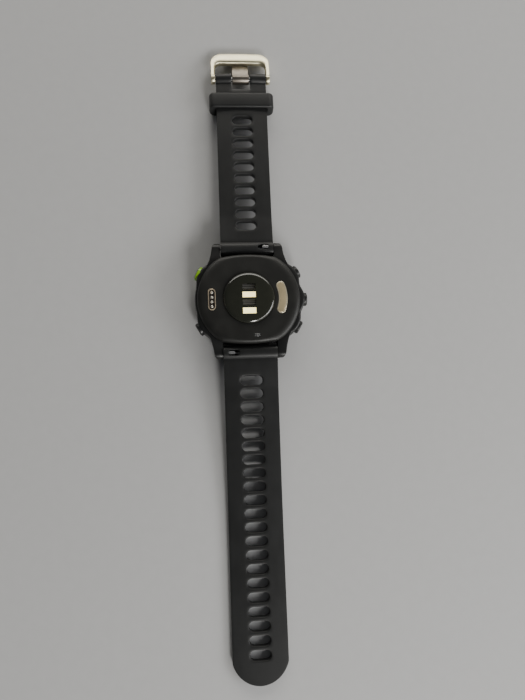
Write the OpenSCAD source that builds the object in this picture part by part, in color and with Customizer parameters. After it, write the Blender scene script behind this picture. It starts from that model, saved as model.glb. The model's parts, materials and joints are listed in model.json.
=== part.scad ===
// GPS running watch, lying face down with both straps laid out.
// Millimetres. The origin is the centre of the front glass, on the surface that the glass lies on.
// +X points to the three-button side, +Y along the buckle strap and +Z out of the wrist side.

/* [Case] */
// Diameter of the middle case, without lobes and buttons
case_d = 43.8; // [42:0.2:54]
// Height from the front glass to the flat of the back cover
case_h = 11.3; // [10.5:0.1:14]
// Height of the bezel ring
bezel_h = 2.4; // [2.2:0.1:3]
// Height of the back cover at its middle, above the case rim
cover_h = 2.1; // [1.8:0.1:2.6]
// Thickness of the back cover's plate
cover_t = 1.5; // [1.2:0.1:1.6]
// Thickness of the front glass
glass_t = 1.5; // [1.2:0.1:1.6]
// Height of the spring bars above the front glass
bar_z = 6.4; // [6:0.1:7]

/* [Sensor and back] */
// Diameter of the optical sensor's window
sensor_d = 20.8; // [18:0.2:21.6]
// Height of the window above the back cover
sensor_rise = 2.0; // [1.2:0.1:2.6]
// Width and length of one light or detector window
eye_w = 5.3; // [4:0.1:6]
// Length of one light window along the straps
eye_l = 2.5; // [2:0.1:2.7]
// Distance between neighbouring windows
eye_pitch = 3.25; // [3:0.05:3.6]
// Distance between neighbouring charging contacts
contact_pitch = 1.9; // [1.7:0.1:2.2]
// Width of the curved metal inlay
inlay_w = 3.6; // [3:0.1:4]
// Half of the angle that the inlay's middle line spans
inlay_half_angle = 20.5; // [12:0.5:26]

/* [Buttons] */
// Diameter of a button cap
button_d = 5.5; // [4.5:0.1:6]
// How far a cap reaches past the middle case
button_reach = 2.3; // [2.1:0.1:3.0]
// Travel of a button
button_travel = 0.7; // [0.4:0.1:0.9]
// Height of the button axes above the front glass
button_z = 6.0; // [5.6:0.1:6.4]
// Diameter of a button stem
stem_d = 2.2; // [1.8:0.1:2.6]

/* [Straps] */
// Nominal strap width, which is also the lug width
strap_w = 22; // [18:0.5:24]
// Thickness of both straps away from their ends
strap_t = 2.4; // [2:0.1:2.7]
// Length of the long strap from its spring bar to its tip
long_len = 128; // [100:1:155]
// Length of the short strap between its spring bar and the buckle bar
short_len = 77.5; // [62:0.5:94]
// Distance between neighbouring slots
slot_pitch = 5.3; // [4.8:0.1:6.4]
// Length of a slot along the strap
slot_l = 3.8; // [3.2:0.1:3.9]
// Width of the slots next to the case
slot_w = 9.2; // [8.2:0.1:11]
// Diameter of the strap's rolled end round the spring bar
boss_d = 6.0; // [5:0.1:6.2]
// Diameter of the spring bars and of the buckle bar
bar_d = 1.8; // [1.5:0.1:2]

/* [Buckle and keeper] */
// Width of the end bar of the buckle frame
buckle_bar_w = 5.1; // [4:0.1:6]
// Length of the buckle's window, from the bar's axis to the end bar
buckle_window = 9.2; // [8:0.1:11]
// Thickness of the buckle frame
buckle_t = 2.0; // [1.6:0.1:2.4]
// Width of the tang
tang_w = 7.2; // [5:0.1:8]
// Thickness of the tang's blade
tang_t = 1.0; // [0.8:0.1:1.2]
// Width of the keeper loop along the strap
keeper_w = 6.9; // [5:0.1:9]
// Wall of the keeper loop above and below the straps
keeper_wall = 1.1; // [0.9:0.1:1.3]

/* [Hidden] */
$fn = 72;
eps = 0.01;

// Case
case_r = case_d / 2;
rim_z = case_h - cover_h;
flat_r = case_r - 4.4;
cover_r = case_r - 1.0;
cover_floor = case_h - cover_t;
cavity_r = case_r - 2.6;
bezel_r = case_r - 0.4;
bezel_front_r = case_r - 1.7;
bezel_lift = 0.15;
lens_r = case_r - 4.0;
lens_gap = 0.08;
gasket_t = 0.15;
ledge_r = lens_r - 1.3;
recess_y = case_r - 3.5;
recess_curve = 60;
cavity_y = recess_y - 2.2;
seal_out = 0.3;
seal_w = 0.6;
seal_depth = 0.6;

// Lugs and spring bars
lug_gap = strap_w + 0.2;
strap_body_w = strap_w - 0.2;
boss_r = boss_d / 2;
boss_gap = 0.4;
bar_y = recess_y + boss_gap + boss_r;
lug_t = 3.3;
lug_tip_r = 2.3;
lug_low = 2.9;
bar_r = bar_d / 2;
bar_fit = 0.05;
tip_r = 0.5;
tip_reach = 1.4;
tube_half = strap_body_w / 2 - 0.5;
tube_wall = 0.3;
knob_x = 0.69 * tube_half + 0.4;
knob_l = 2.6;
knob_w = 1.1;
release_travel = 1.6;
knob_recess_l = knob_l + release_travel + 0.4;
knob_recess_w = 2.2;
lever_r = 0.4;

// Lip of the case that covers the bezel behind each strap
flange_t = 0.6;

// Buttons: names, angles round the case and their pockets
BUTTONS = [["light_button", 30], ["up_button", 0], ["down_button", -30],
           ["start_button", 150], ["back_button", 210]];
start_angle = 150;
cap_r = button_d / 2;
cap_end = case_r + button_reach;
cap_base = case_r - 0.1;
pocket_gap = 0.15;
pocket_floor = case_r - 1.2;
stem_r = stem_d / 2;
stem_gap = 0.06;
stem_end = cavity_r - 0.8;
lobe_r = 6.5;
lobe_out = 1.25;
lobe_chamfer = 0.9;
clip_t = 0.35;
clip_at = cavity_r - 0.55;
clip_neck = 0.32;
accent_r = cap_r + 0.6;
accent_from = case_r + 0.1;
accent_to = case_r + 1.85;
switch_from = cavity_r - 3.0;
switch_to = stem_end - button_travel - 0.06;

// Inner stack
display_r = ledge_r - 0.3;
antenna_r = lens_r + 0.8;
antenna_w = 1.0;
antenna_t = 0.5;
chassis_r = switch_from - 0.05;
chassis_y = cavity_y - 0.3;
chassis_floor = bezel_h + 0.2;
chassis_t = 0.7;
post_h = 0.6;
board_z = chassis_floor + chassis_t + post_h;
board_t = 0.8;
board_r = chassis_r - 1.1;
board_y = chassis_y - 1.0;
board_top = board_z + board_t;
screw_x = 0.63 * board_r;
screw_y = 0.68 * board_r;
screw_r = 0.58;
shield_h = 1.2;
sensor_r = sensor_d / 2;
sensor_hole_r = sensor_r - 1.6;
window_floor = case_h - 0.7;
eye_board_t = 0.6;
eye_h = 1.5;
eye_board_z = window_floor - eye_board_t;
battery_z = board_top + shield_h + 0.2;
battery_t = eye_board_z - 0.2 - battery_z;
battery_w = 20;
battery_l = 15;
battery_y = 2.9;

// Back cover fittings
port_l = 3 * contact_pitch + 3.2;
port_w = 3.1;
port_rim = 0.4;
port_x = -(flat_r - port_w / 2 - 1.0);
port_y = -0.4;
contact_r = 0.55;
inlay_r = sensor_r + inlay_w / 2 + 1.6;
inlay_t = 0.45;
vent_x = 2.8;
vent_y = -(flat_r - 2.3);
vent_l = 2.4;
vent_w = 1.2;

// Short strap: its own frame starts at the spring bar and runs along the strap
buckle_z = 4.9;
short_droop = asin((bar_z - buckle_z) / short_len);
boss_neck_t = 3.4;
taper_from = 3;
taper_to = 14;
ear_r = 2.5;
pocket_w = tang_w + 1.0;
pocket_depth = 5.3;
short_slot_w = slot_w - 0.6;
short_slot_start = 8.0;
keeper_gap = 0.1;
keeper_in_w = strap_body_w + 0.8;
keeper_side = 2.7;
keeper_in_h = 2 * strap_t + 0.4;
keeper_y = short_len - pocket_depth - 2.1 - keeper_w / 2;
short_slots = floor((keeper_y - keeper_w / 2 + 1.3 - short_slot_start) / slot_pitch);

// Long strap: it leaves the bar, sinks and lies on the surface
long_slot_start = 9.2;
long_tip_r = strap_body_w / 2 + 0.4;
long_slots = floor((long_len - long_slot_start - 7.5) / slot_pitch);
long_slot_w_tip = slot_w - 1.0;
sag_from = 2;
sag_len = 76;

// Buckle
frame_droop = 12.9;
tang_droop = 13.8;
arm_gap = 0.25;
arm_t = 1.65;
arm_end_r = 2.0;
arm_in = strap_body_w / 2 + arm_gap;
arm_out = arm_in + arm_t;
frame_end = buckle_window + buckle_bar_w;
frame_corner = 4.2;
window_corner = 2.6;
curl_r = bar_r + bar_fit + tang_t;
tang_len = buckle_window + 0.62 * buckle_bar_w;

// ---- Shared shapes ----

// A cylinder along +X from x0 to x1
module rod_x(r, x0, x1) translate([x0, 0, 0]) rotate([0, 90, 0]) cylinder(r = r, h = x1 - x0);

// A slot-shaped prism, l long over its round ends along X, w wide, from z0 to z1
module slot_prism(l, w, z0, z1) translate([0, 0, z0]) {
    translate([-(l - w) / 2, -w / 2, 0]) cube([l - w, w, z1 - z0]);
    for (s = [-1, 1]) translate([s * (l - w) / 2, 0, 0]) cylinder(r = w / 2, h = z1 - z0);
}

// Points of an arc round c, from angle a0 to a1
function arc(c, r, a0, a1, n = 8) =
    [for (i = [0:n]) let (a = a0 + (a1 - a0) * i / n) c + r * [cos(a), sin(a)]];

// Outline of a rectangle centred on c with rounded corners
function round_rect(c, w, h, r) = concat(
    arc(c + [w / 2 - r, h / 2 - r], r, 0, 90), arc(c + [r - w / 2, h / 2 - r], r, 90, 180),
    arc(c + [r - w / 2, r - h / 2], r, 180, 270), arc(c + [w / 2 - r, r - h / 2], r, 270, 360));

// An outline in the Y-Z plane, extruded along X and centred
module side_extrude(width, points) rotate([90, 0, 90]) linear_extrude(width, center = true) polygon(points);

// A coil spring along +Z round a middle radius, from 0 to h
module coil(radius, wire, h, turns, steps = 14, sides = 6) {
    rings = turns * steps;
    points = [for (i = [0:rings]) for (k = [0:sides - 1])
        let (a = 360 * i / steps, b = 360 * k / sides, rr = radius + wire * cos(b))
        [rr * cos(a), rr * sin(a), wire + (h - 2 * wire) * i / rings + wire * sin(b)]];
    faces = concat(
        [[for (k = [0:sides - 1]) k]],
        [for (i = [0:rings - 1]) for (k = [0:sides - 1]) let (n = (k + 1) % sides) for (half = [0, 1])
            half == 0 ? [i * sides + k, (i + 1) * sides + k, (i + 1) * sides + n]
                : [i * sides + k, (i + 1) * sides + n, i * sides + n]],
        [[for (k = [sides - 1:-1:0]) rings * sides + k]]);
    polyhedron(points, faces);
}

// ---- Case ----

// The room inside the case: round, with flats where the straps' recesses come close
module cavity(grow, z0, z1) translate([0, 0, z0]) intersection() {
    cylinder(r = cavity_r + grow, h = z1 - z0);
    translate([-case_r, -(cavity_y + grow), 0]) cube([2 * case_r, 2 * (cavity_y + grow), z1 - z0]);
}

// What the straps' ends need out of the case, behind the bezel
module strap_recesses() for (turn = [0, 180]) rotate(turn) difference() {
    translate([-lug_gap / 2, recess_y - 1.5, bezel_h + flange_t]) cube([lug_gap, 9, case_h]);
    translate([0, recess_y - recess_curve, 0]) cylinder(r = recess_curve, h = case_h * 2, $fn = 180);
}

// One lug at +X +Y: a plan outline cut by a side outline
module lug() intersection() {
    translate([0, 0, lug_low]) linear_extrude(rim_z - lug_low) polygon([
        [lug_gap / 2, 0.6 * case_r], [lug_gap / 2, bar_y + lug_tip_r],
        [lug_gap / 2 + lug_t - 0.9, bar_y + lug_tip_r], [lug_gap / 2 + lug_t - 0.1, bar_y + lug_tip_r - 0.8],
        [lug_gap / 2 + lug_t + 0.4, bar_y - 0.8], [lug_gap / 2 + lug_t + 1.4, bar_y - 5.6],
        [0.83 * case_r, 0.53 * case_r], [0.7 * case_r, 0.5 * case_r]]);
    side_extrude(4 * case_r, concat([[0, lug_low], [0, rim_z], [recess_y - 1.4, rim_z]],
        arc([bar_y, bar_z], lug_tip_r, 80, -80), [[recess_y - 1.4, lug_low]]));
}

// The case swells round each button
module lobes() intersection() {
    rotate_extrude($fn = 180) polygon([[cavity_r - 1, bezel_h + 0.3],
        [case_r + lobe_out - lobe_chamfer, bezel_h + 0.3], [case_r + lobe_out + 0.1, bezel_h + 0.4 + lobe_chamfer],
        [case_r + lobe_out + 0.1, rim_z - 0.4 - lobe_chamfer], [case_r + lobe_out - lobe_chamfer, rim_z - 0.3],
        [cavity_r - 1, rim_z - 0.3]]);
    for (b = BUTTONS) rotate(b[1]) translate([case_r + lobe_out - lobe_r, 0, 1]) cylinder(r = lobe_r, h = rim_z);
}

// Seat of one button: the cap's pocket, the stem's bore and the groove of its seal
module button_seat(angle) rotate(angle) translate([0, 0, button_z]) {
    rod_x(cap_r + pocket_gap, pocket_floor, case_r + 8);
    rod_x(stem_r + stem_gap, cavity_r - 2, case_r);
    rod_x(stem_r + 0.6, cavity_r + 0.45, cavity_r + 1.05);
}

module case_body() color("#26282b") difference() {
    union() {
        rotate_extrude($fn = 180) polygon([[cavity_r - 2, bezel_h], [bezel_r, bezel_h],
            [case_r, bezel_h + 1.0], [case_r, rim_z - 1.8], [case_r - 0.3, rim_z - 0.8],
            [cover_r, rim_z], [cavity_r - 2, rim_z]]);
        lobes();
        for (mx = [0, 1]) for (my = [0, 1]) mirror([mx, 0, 0]) mirror([0, my, 0]) lug();
        // flats that close the ring behind each strap
        for (s = [-1, 1]) translate([-0.55 * case_r, s * (cavity_y + 1) - 1, bezel_h])
            cube([1.1 * case_r, 2, rim_z - bezel_h]);
    }
    cavity(0, bezel_h - 1, rim_z + 1);
    strap_recesses();
    difference() {
        cavity(seal_out + seal_w, rim_z - seal_depth, rim_z + 1);
        cavity(seal_out, rim_z - 2, rim_z + 2);
    }
    for (b = BUTTONS) button_seat(b[1]);
    rotate(start_angle) translate([0, 0, button_z]) rod_x(accent_r + 0.03, accent_from, case_r + 8);
    for (s = [-1, 1]) translate([0, s * bar_y, bar_z])
        rod_x(tip_r + bar_fit, -(lug_gap / 2 + tip_reach + 0.4), lug_gap / 2 + tip_reach + 0.4);
}

module bezel() color("#1d1e20") difference() {
    rotate_extrude($fn = 180) polygon([[lens_r + lens_gap, bezel_lift], [bezel_front_r, bezel_lift],
        [bezel_front_r + 0.8, bezel_lift + 0.5], [bezel_r, bezel_h - 0.5], [bezel_r, bezel_h],
        [ledge_r, bezel_h], [ledge_r, glass_t + gasket_t], [lens_r + lens_gap, glass_t + gasket_t]]);
    translate([0, 0, bezel_h - antenna_t]) difference() {
        cylinder(r = antenna_r + antenna_w + 0.05, h = 1);
        translate([0, 0, -1]) cylinder(r = antenna_r - 0.05, h = 3);
    }
}

module front_glass() color("#0b0c0e") {
    cylinder(r1 = lens_r - 0.4, r2 = lens_r, h = 0.4);
    translate([0, 0, 0.4]) cylinder(r = lens_r, h = glass_t - 0.4);
}

module ring(r_in, r_out, z0, z1) translate([0, 0, z0]) difference() {
    cylinder(r = r_out, h = z1 - z0);
    translate([0, 0, -1]) cylinder(r = r_in, h = z1 - z0 + 2);
}

module glass_gasket() color("#151515") ring(ledge_r + 0.1, lens_r, glass_t, glass_t + gasket_t);

module display_panel() color("#20262a") translate([0, 0, glass_t]) cylinder(r = display_r, h = bezel_h - glass_t);

module antenna_ring() color("#b9a06a")
    ring(antenna_r, antenna_r + antenna_w, bezel_h - antenna_t + 0.02, bezel_h);

// ---- Inner assembly ----

module inner_disc(r, y, z0, z1) translate([0, 0, z0]) intersection() {
    cylinder(r = r, h = z1 - z0);
    translate([-r, -y, 0]) cube([2 * r, 2 * y, z1 - z0]);
}

module at_screws() for (sx = [-1, 1]) for (sy = [-1, 1]) translate([sx * screw_x, sy * screw_y, 0]) children();

module chassis() color("#3a3f45") difference() {
    union() {
        inner_disc(chassis_r, chassis_y, chassis_floor, chassis_floor + chassis_t);
        difference() {
            inner_disc(chassis_r, chassis_y, chassis_floor, board_top + 0.3);
            inner_disc(chassis_r - 0.8, chassis_y - 0.8, chassis_floor - 1, board_top + 1);
        }
        at_screws() translate([0, 0, chassis_floor]) cylinder(r = 1.4, h = chassis_t + post_h);
    }
    at_screws() translate([0, 0, chassis_floor - 1]) cylinder(r = screw_r + 0.02, h = 5);
}

module main_board() color("#1f5a3a") difference() {
    inner_disc(board_r, board_y, board_z, board_top);
    at_screws() translate([0, 0, board_z - 1]) cylinder(r = screw_r + 0.1, h = 4);
}

module board_screws() color("#b8bcc0") at_screws() {
    translate([0, 0, chassis_floor + 0.1]) cylinder(r = screw_r, h = board_top - chassis_floor - 0.1);
    difference() {
        translate([0, 0, board_top]) cylinder(r = 1.05, h = 0.55);
        translate([-0.7, -0.12, board_top + 0.3]) cube([1.4, 0.24, 1]);
    }
}

module board_shields() color("#aab0b4") {
    translate([-9.5, 0.5, board_top]) cube([9, 7.5, shield_h]);
    translate([1, 2.5, board_top]) cube([8, 5.5, shield_h - 0.2]);
    translate([-4.5, -5.2, board_top]) cube([6, 4, shield_h - 0.4]);
}

module battery() color("#c9cdd1") {
    translate([-battery_w / 2, battery_y - battery_l / 2, battery_z]) cube([battery_w, battery_l, battery_t]);
}

module vibration_motor() color("#c0c4c8") {
    translate([-4.6, -9.4, board_top]) cylinder(r = 3.5, h = 2.7);
    translate([-4.6, -9.4, board_top + 2.7]) cylinder(r = 1.2, h = 0.2);
}

module sounder() color("#c2a25c") {
    translate([4.8, -9.6, board_top]) cylinder(r = 3, h = 0.4);
    translate([4.8, -9.6, board_top + 0.4]) cylinder(r = 2.1, h = 0.25);
}

module side_switches() color("#d8d8d8") for (b = BUTTONS) rotate(b[1]) translate([0, 0, button_z]) {
    translate([switch_from, -1.6, -1.2]) cube([switch_to - 0.35 - switch_from, 3.2, 2.4]);
    rod_x(0.6, switch_to - 0.35, switch_to);
}

module button_seals() color("#2a2a2a") for (b = BUTTONS) rotate(b[1])
    translate([cavity_r + 0.75, 0, button_z]) rotate([0, 90, 0])
        rotate_extrude($fn = 48) translate([stem_r + 0.3, 0]) circle(r = 0.26, $fn = 24);

// ---- Back cover and what sits in it ----

function cover_edge(i, n) = let (a = 90 * i / n)
    [flat_r + (cover_r - flat_r) * sin(a), rim_z + 0.35 + (cover_h - 0.35) * cos(a)];

// An arc-shaped slot round the window: the inlay's outline
module inlay_shape(grow, z0, z1) {
    w = inlay_w / 2 + grow;
    a = inlay_half_angle;
    translate([0, 0, z0]) linear_extrude(z1 - z0) polygon(concat(
        arc([0, 0], inlay_r + w, -a, a, 20), arc(inlay_r * [cos(a), sin(a)], w, a + 18, a + 162, 8),
        arc([0, 0], inlay_r - w, a, -a, 14), arc(inlay_r * [cos(a), -sin(a)], w, 198 - a, 342 - a, 8)));
}

module at_port() translate([port_x, port_y, 0]) rotate(90) children();

module back_cover() color("#222426") difference() {
    rotate_extrude($fn = 180) polygon(concat(
        [[sensor_hole_r, case_h]], [for (i = [0:6]) cover_edge(i, 6)],
        [[cover_r, rim_z], [sensor_hole_r, rim_z]]));
    cavity(0, rim_z - 1, cover_floor);
    strap_recesses();
    translate([0, 0, window_floor]) cylinder(r = sensor_r + 0.05, h = 3);
    at_port() {
        slot_prism(port_l + 0.1, port_w + 0.1, case_h - 0.95, case_h + 1);
        slot_prism(port_l - 2 * port_rim, port_w - 2 * port_rim, rim_z - 1, case_h);
    }
    inlay_shape(0.03, case_h - inlay_t, case_h + 1);
    translate([vent_x, vent_y, 0]) {
        slot_prism(vent_l + 0.06, vent_w + 0.06, case_h - 0.4, case_h + 1);
        translate([0, 0, rim_z - 1]) cylinder(r = 0.4, h = 3);
    }
}

module back_seal() color("#3b3b3b") difference() {
    cavity(seal_out + seal_w, rim_z - seal_depth, rim_z);
    cavity(seal_out, rim_z - 2, rim_z + 2);
}

module sensor_window() color("#0a0a0b") difference() {
    rotate_extrude($fn = 144) polygon(concat([[0, window_floor], [sensor_r, window_floor]],
        [for (i = [0:3]) let (a = i * 30) [sensor_r - 0.8 + 0.8 * cos(a), case_h + 0.35 * sensor_rise + 0.5 * sin(a)]],
        [for (i = [1:5]) let (t = i / 5, r = (sensor_r - 0.8) * (1 - t))
            [r, case_h + sensor_rise - (0.65 * sensor_rise - 0.5) * pow(r / (sensor_r - 0.8), 2)]]));
    translate([0, 0, window_floor - 1]) cylinder(r = sensor_hole_r - 1.2, h = 1 + eye_h + 0.2);
}

module sensor_board() color("#10301f") translate([0, 0, eye_board_z])
    cylinder(r = sensor_hole_r - 0.1, h = eye_board_t);

// The four windows run along the straps: detector, light, detector, light
module eye(i, h) translate([-eye_w / 2, (1.5 - i) * eye_pitch - eye_l / 2 - 0.6, window_floor]) cube([eye_w, eye_l, h]);

module sensor_leds() color("#efe9c8") {
    eye(1, eye_h);
    eye(3, eye_h);
}

module sensor_photodiodes() color("#4a4c52") {
    eye(0, eye_h - 0.1);
    eye(2, eye_h - 0.1);
}

module charge_insulator() color("#3a241a") difference() {
    at_port() slot_prism(port_l - 2 * port_rim - 0.04, port_w - 2 * port_rim - 0.04, rim_z + 0.7, case_h - 0.3);
    for (i = [0:3]) translate([port_x, port_y + (i - 1.5) * contact_pitch, rim_z])
        cylinder(r = contact_r + 0.02, h = 4);
}

module charge_frame() color("#c08f78") at_port() difference() {
    slot_prism(port_l, port_w, case_h - 0.95, case_h + 0.05);
    slot_prism(port_l - 2 * port_rim, port_w - 2 * port_rim, case_h - 2, case_h + 1);
}

module charge_contacts() color("#e2ddd2") for (i = [0:3])
    translate([port_x, port_y + (i - 1.5) * contact_pitch, rim_z + 0.75]) {
        cylinder(r = contact_r, h = case_h - 0.25 - rim_z - 0.75);
        translate([0, 0, case_h - 0.25 - rim_z - 0.75]) cylinder(r1 = contact_r, r2 = contact_r - 0.15, h = 0.12);
    }

module metal_inlay() color("#a4937c") inlay_shape(0, case_h - inlay_t, case_h + 0.05);

module vent_screen() color("#8c8f92") translate([vent_x, vent_y, 0])
    slot_prism(vent_l, vent_w, case_h - 0.4, case_h - 0.05);

// ---- Buttons ----

module start_accent_ring() color("#8fbf26") rotate(start_angle) translate([0, 0, button_z]) difference() {
    rod_x(accent_r, accent_from, accent_to);
    rod_x(cap_r + 0.1, accent_from - 1, accent_to + 1);
}

module button(angle) color("#1b1c1e") rotate(angle) translate([0, 0, button_z]) {
    rod_x(stem_r, stem_end, clip_at);
    rod_x(stem_r - clip_neck, clip_at, clip_at + clip_t);
    rod_x(stem_r, clip_at + clip_t, cap_base);
    rod_x(cap_r, cap_base, cap_end - 0.5);
    translate([cap_end - 0.5, 0, 0]) rotate([0, 90, 0]) cylinder(r1 = cap_r, r2 = cap_r - 0.45, h = 0.5);
}

module button_clip(angle) color("#9aa0a6") rotate(angle) translate([0, 0, button_z]) difference() {
    rod_x(stem_r + 0.7, clip_at + 0.02, clip_at + clip_t - 0.02);
    rod_x(stem_r - clip_neck + 0.01, clip_at - 1, clip_at + 1);
    translate([clip_at - 1, -0.35, -4]) cube([3, 0.7, 4]);
}

module button_spring(angle) color("#b8bcc0") rotate(angle) translate([pocket_floor, 0, button_z]) rotate([0, 90, 0])
    coil(stem_r + 0.55, 0.16, cap_base - pocket_floor, 3);

// ---- Spring bars, in the frame of a strap: origin on the bar's axis ----

module bar_tube() color("#a9adb1") difference() {
    rod_x(bar_r, -tube_half, tube_half);
    rod_x(bar_r - tube_wall, -tube_half - 1, tube_half + 1);
    translate([knob_x - release_travel - lever_r - 0.1, -lever_r - 0.05, 0])
        cube([release_travel + 2 * lever_r + 0.2, 2 * lever_r + 0.1, 3]);
}

module bar_end_pin() color("#c9cdd1") {
    rod_x(bar_r - tube_wall - 0.02, -tube_half, -tube_half + 1.4);
    rod_x(tip_r, -(lug_gap / 2 + tip_reach), -tube_half);
}

module bar_release_pin() color("#d4d7da") {
    rod_x(bar_r - tube_wall - 0.05, knob_x - 4.4, tube_half);
    rod_x(tip_r, tube_half, lug_gap / 2 + tip_reach);
    translate([knob_x, 0, 0]) cylinder(r = lever_r, h = boss_r - 0.6);
    translate([knob_x, 0, 0]) slot_prism(knob_l, knob_w, boss_r - 0.7, boss_r - 0.05);
}

module bar_spring() color("#b8bcc0") translate([-tube_half + 1.5, 0, 0]) rotate([0, 90, 0])
    coil(bar_r - tube_wall - 0.16, 0.09, knob_x - 4.5 - (-tube_half + 1.5), 11, 10, 5);

// Frames of the two straps: +Y runs away from the case, +Z stays on the wrist side
module short_frame() translate([0, bar_y, bar_z]) rotate([-short_droop, 0, 0]) children();
module long_frame() translate([0, -bar_y, bar_z]) rotate(180) children();
module buckle_place(droop) translate([0, bar_y + short_len * cos(short_droop), buckle_z])
    rotate([-droop, 0, 0]) children();

// The rolled end of a strap with its bore and the recess of the release knob
module boss_cuts() {
    rod_x(bar_r + bar_fit, -strap_w, strap_w);
    translate([knob_x - release_travel / 2, 0, 0]) slot_prism(knob_recess_l, knob_recess_w, 0, boss_r + 2);
}

// ---- Straps ----

module short_strap() color("#26292c") short_frame() difference() {
    union() {
        rod_x(boss_r, -strap_body_w / 2, strap_body_w / 2);
        side_extrude(strap_body_w, [[0, -boss_neck_t / 2], [0, boss_neck_t / 2],
            [taper_from, boss_neck_t / 2], [taper_to, strap_t / 2], [short_len, strap_t / 2],
            [short_len, -strap_t / 2], [taper_to, -strap_t / 2], [taper_from, -boss_neck_t / 2]]);
        translate([0, short_len, 0]) rod_x(ear_r, -strap_body_w / 2, strap_body_w / 2);
    }
    boss_cuts();
    translate([0, short_len, 0]) rod_x(bar_r + bar_fit, -strap_w, strap_w);
    translate([-pocket_w / 2, short_len - pocket_depth, -5]) cube([pocket_w, pocket_depth + 5, 10]);
    for (i = [0:short_slots - 1]) translate([0, short_slot_start + slot_l / 2 + i * slot_pitch, 0])
        slot_prism(short_slot_w, slot_l, -5, 5);
}

// Height of the long strap's middle above its spring bar, at y along it
function sag(y) = let (t = min(1, max(0, (y - sag_from) / sag_len)))
    -(bar_z - strap_t / 2) * (1.5 * t - 0.5 * t * t * t);

// Half of the long strap's thickness at y along it
function half_t(y) = let (t = min(1, max(0, (y - taper_from) / (taper_to - taper_from))))
    (boss_neck_t + (strap_t - boss_neck_t) * t) / 2;

module long_strap() color("#26292c") long_frame() {
    stations = concat([0, taper_from], [for (y = [taper_to / 2 + 1.5:6:sag_from + sag_len]) y],
        [sag_from + sag_len, long_len + 1]);
    difference() {
        union() {
            rod_x(boss_r, -strap_body_w / 2, strap_body_w / 2);
            intersection() {
                side_extrude(strap_body_w, concat([for (y = stations) [y, sag(y) + half_t(y)]],
                    [for (i = [len(stations) - 1:-1:0]) let (y = stations[i]) [y, sag(y) - half_t(y)]]));
                translate([0, 0, -bar_z - 2]) linear_extrude(bar_z + 8) polygon(concat(
                    [[strap_w, -2], [strap_w, long_len - long_tip_r]],
                    arc([0, long_len - long_tip_r], long_tip_r, 0, 180, 24),
                    [[-strap_w, long_len - long_tip_r], [-strap_w, -2]]));
            }
        }
        boss_cuts();
        for (i = [0:long_slots - 1]) translate([0, long_slot_start + slot_l / 2 + i * slot_pitch, 0])
            slot_prism(slot_w + (long_slot_w_tip - slot_w) * i / (long_slots - 1), slot_l, -bar_z - 1, 4);
    }
}

// The loop that holds the free end of the long strap
module keeper_loop() color("#26292c") short_frame() {
    top = strap_t / 2 + keeper_gap;
    middle = top - keeper_in_h / 2;
    translate([0, keeper_y + keeper_w / 2, 0]) rotate([90, 0, 0]) difference() {
        linear_extrude(keeper_w) polygon(round_rect([0, middle], keeper_in_w + 2 * keeper_side,
            keeper_in_h + 2 * keeper_wall, 2.4));
        translate([0, 0, -1]) linear_extrude(keeper_w + 2)
            polygon(round_rect([0, middle], keeper_in_w, keeper_in_h, 0.8));
    }
}

// ---- Buckle, in a frame with its origin on the buckle bar ----

module buckle_frame() color("#b9b7ae") buckle_place(frame_droop) difference() {
    union() {
        translate([0, 0, -buckle_t / 2]) linear_extrude(buckle_t) difference() {
            polygon(concat([[arm_out, 0]],
                arc([arm_out - frame_corner, frame_end - frame_corner - 0.5], frame_corner, 0, 75),
                [[0, frame_end]],
                arc([frame_corner - arm_out, frame_end - frame_corner - 0.5], frame_corner, 105, 180),
                [[-arm_out, 0]]));
            polygon(concat([[arm_in, -1]],
                arc([arm_in - window_corner, buckle_window - window_corner], window_corner, 0, 90),
                arc([window_corner - arm_in, buckle_window - window_corner], window_corner, 90, 180),
                [[-arm_in, -1]]));
        }
        for (s = [-1, 1]) translate([s * (arm_in + arm_t / 2), 0, 0]) rod_x(arm_end_r, -arm_t / 2, arm_t / 2);
    }
    rod_x(tip_r + 0.01, -(arm_in + 1.1), arm_in + 1.1);
}

module buckle_bar() color("#c4c2bb") buckle_place(frame_droop) {
    rod_x(bar_r, -(arm_in - 0.1), arm_in - 0.1);
    rod_x(tip_r, -(arm_in + 1.0), arm_in + 1.0);
}

module buckle_tang() color("#b0aea8") buckle_place(tang_droop) difference() {
    union() {
        rod_x(curl_r, -tang_w / 2, tang_w / 2);
        side_extrude(tang_w, [[0, -curl_r], [0, tang_t - curl_r], [tang_len, tang_t - curl_r],
            [tang_len, 0.5 * tang_t - curl_r], [tang_len - 0.8, -curl_r]]);
    }
    rod_x(bar_r + bar_fit, -tang_w, tang_w);
}

// ---- Nodes ----

case_body();
bezel();
front_glass();
glass_gasket();
display_panel();
antenna_ring();
chassis();
board_screws();
main_board();
board_shields();
battery();
vibration_motor();
sounder();
side_switches();
button_seals();
back_cover();
back_seal();
sensor_window();
sensor_board();
sensor_leds();
sensor_photodiodes();
charge_insulator();
charge_frame();
charge_contacts();
metal_inlay();
vent_screen();
start_accent_ring();
for (b = BUTTONS) {
    button(b[1]);
    button_clip(b[1]);
    button_spring(b[1]);
}
short_strap();
short_frame() bar_tube();  // short_bar_tube
short_frame() bar_end_pin();  // short_bar_end_pin
short_frame() bar_release_pin();  // short_bar_release_pin
short_frame() bar_spring();  // short_bar_spring
long_strap();
long_frame() bar_tube();  // long_bar_tube
long_frame() bar_end_pin();  // long_bar_end_pin
long_frame() bar_release_pin();  // long_bar_release_pin
long_frame() bar_spring();  // long_bar_spring
keeper_loop();
buckle_frame();
buckle_bar();
buckle_tang();
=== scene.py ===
import json
import math

import bmesh
import bpy
from mathutils import Matrix, Vector


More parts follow.
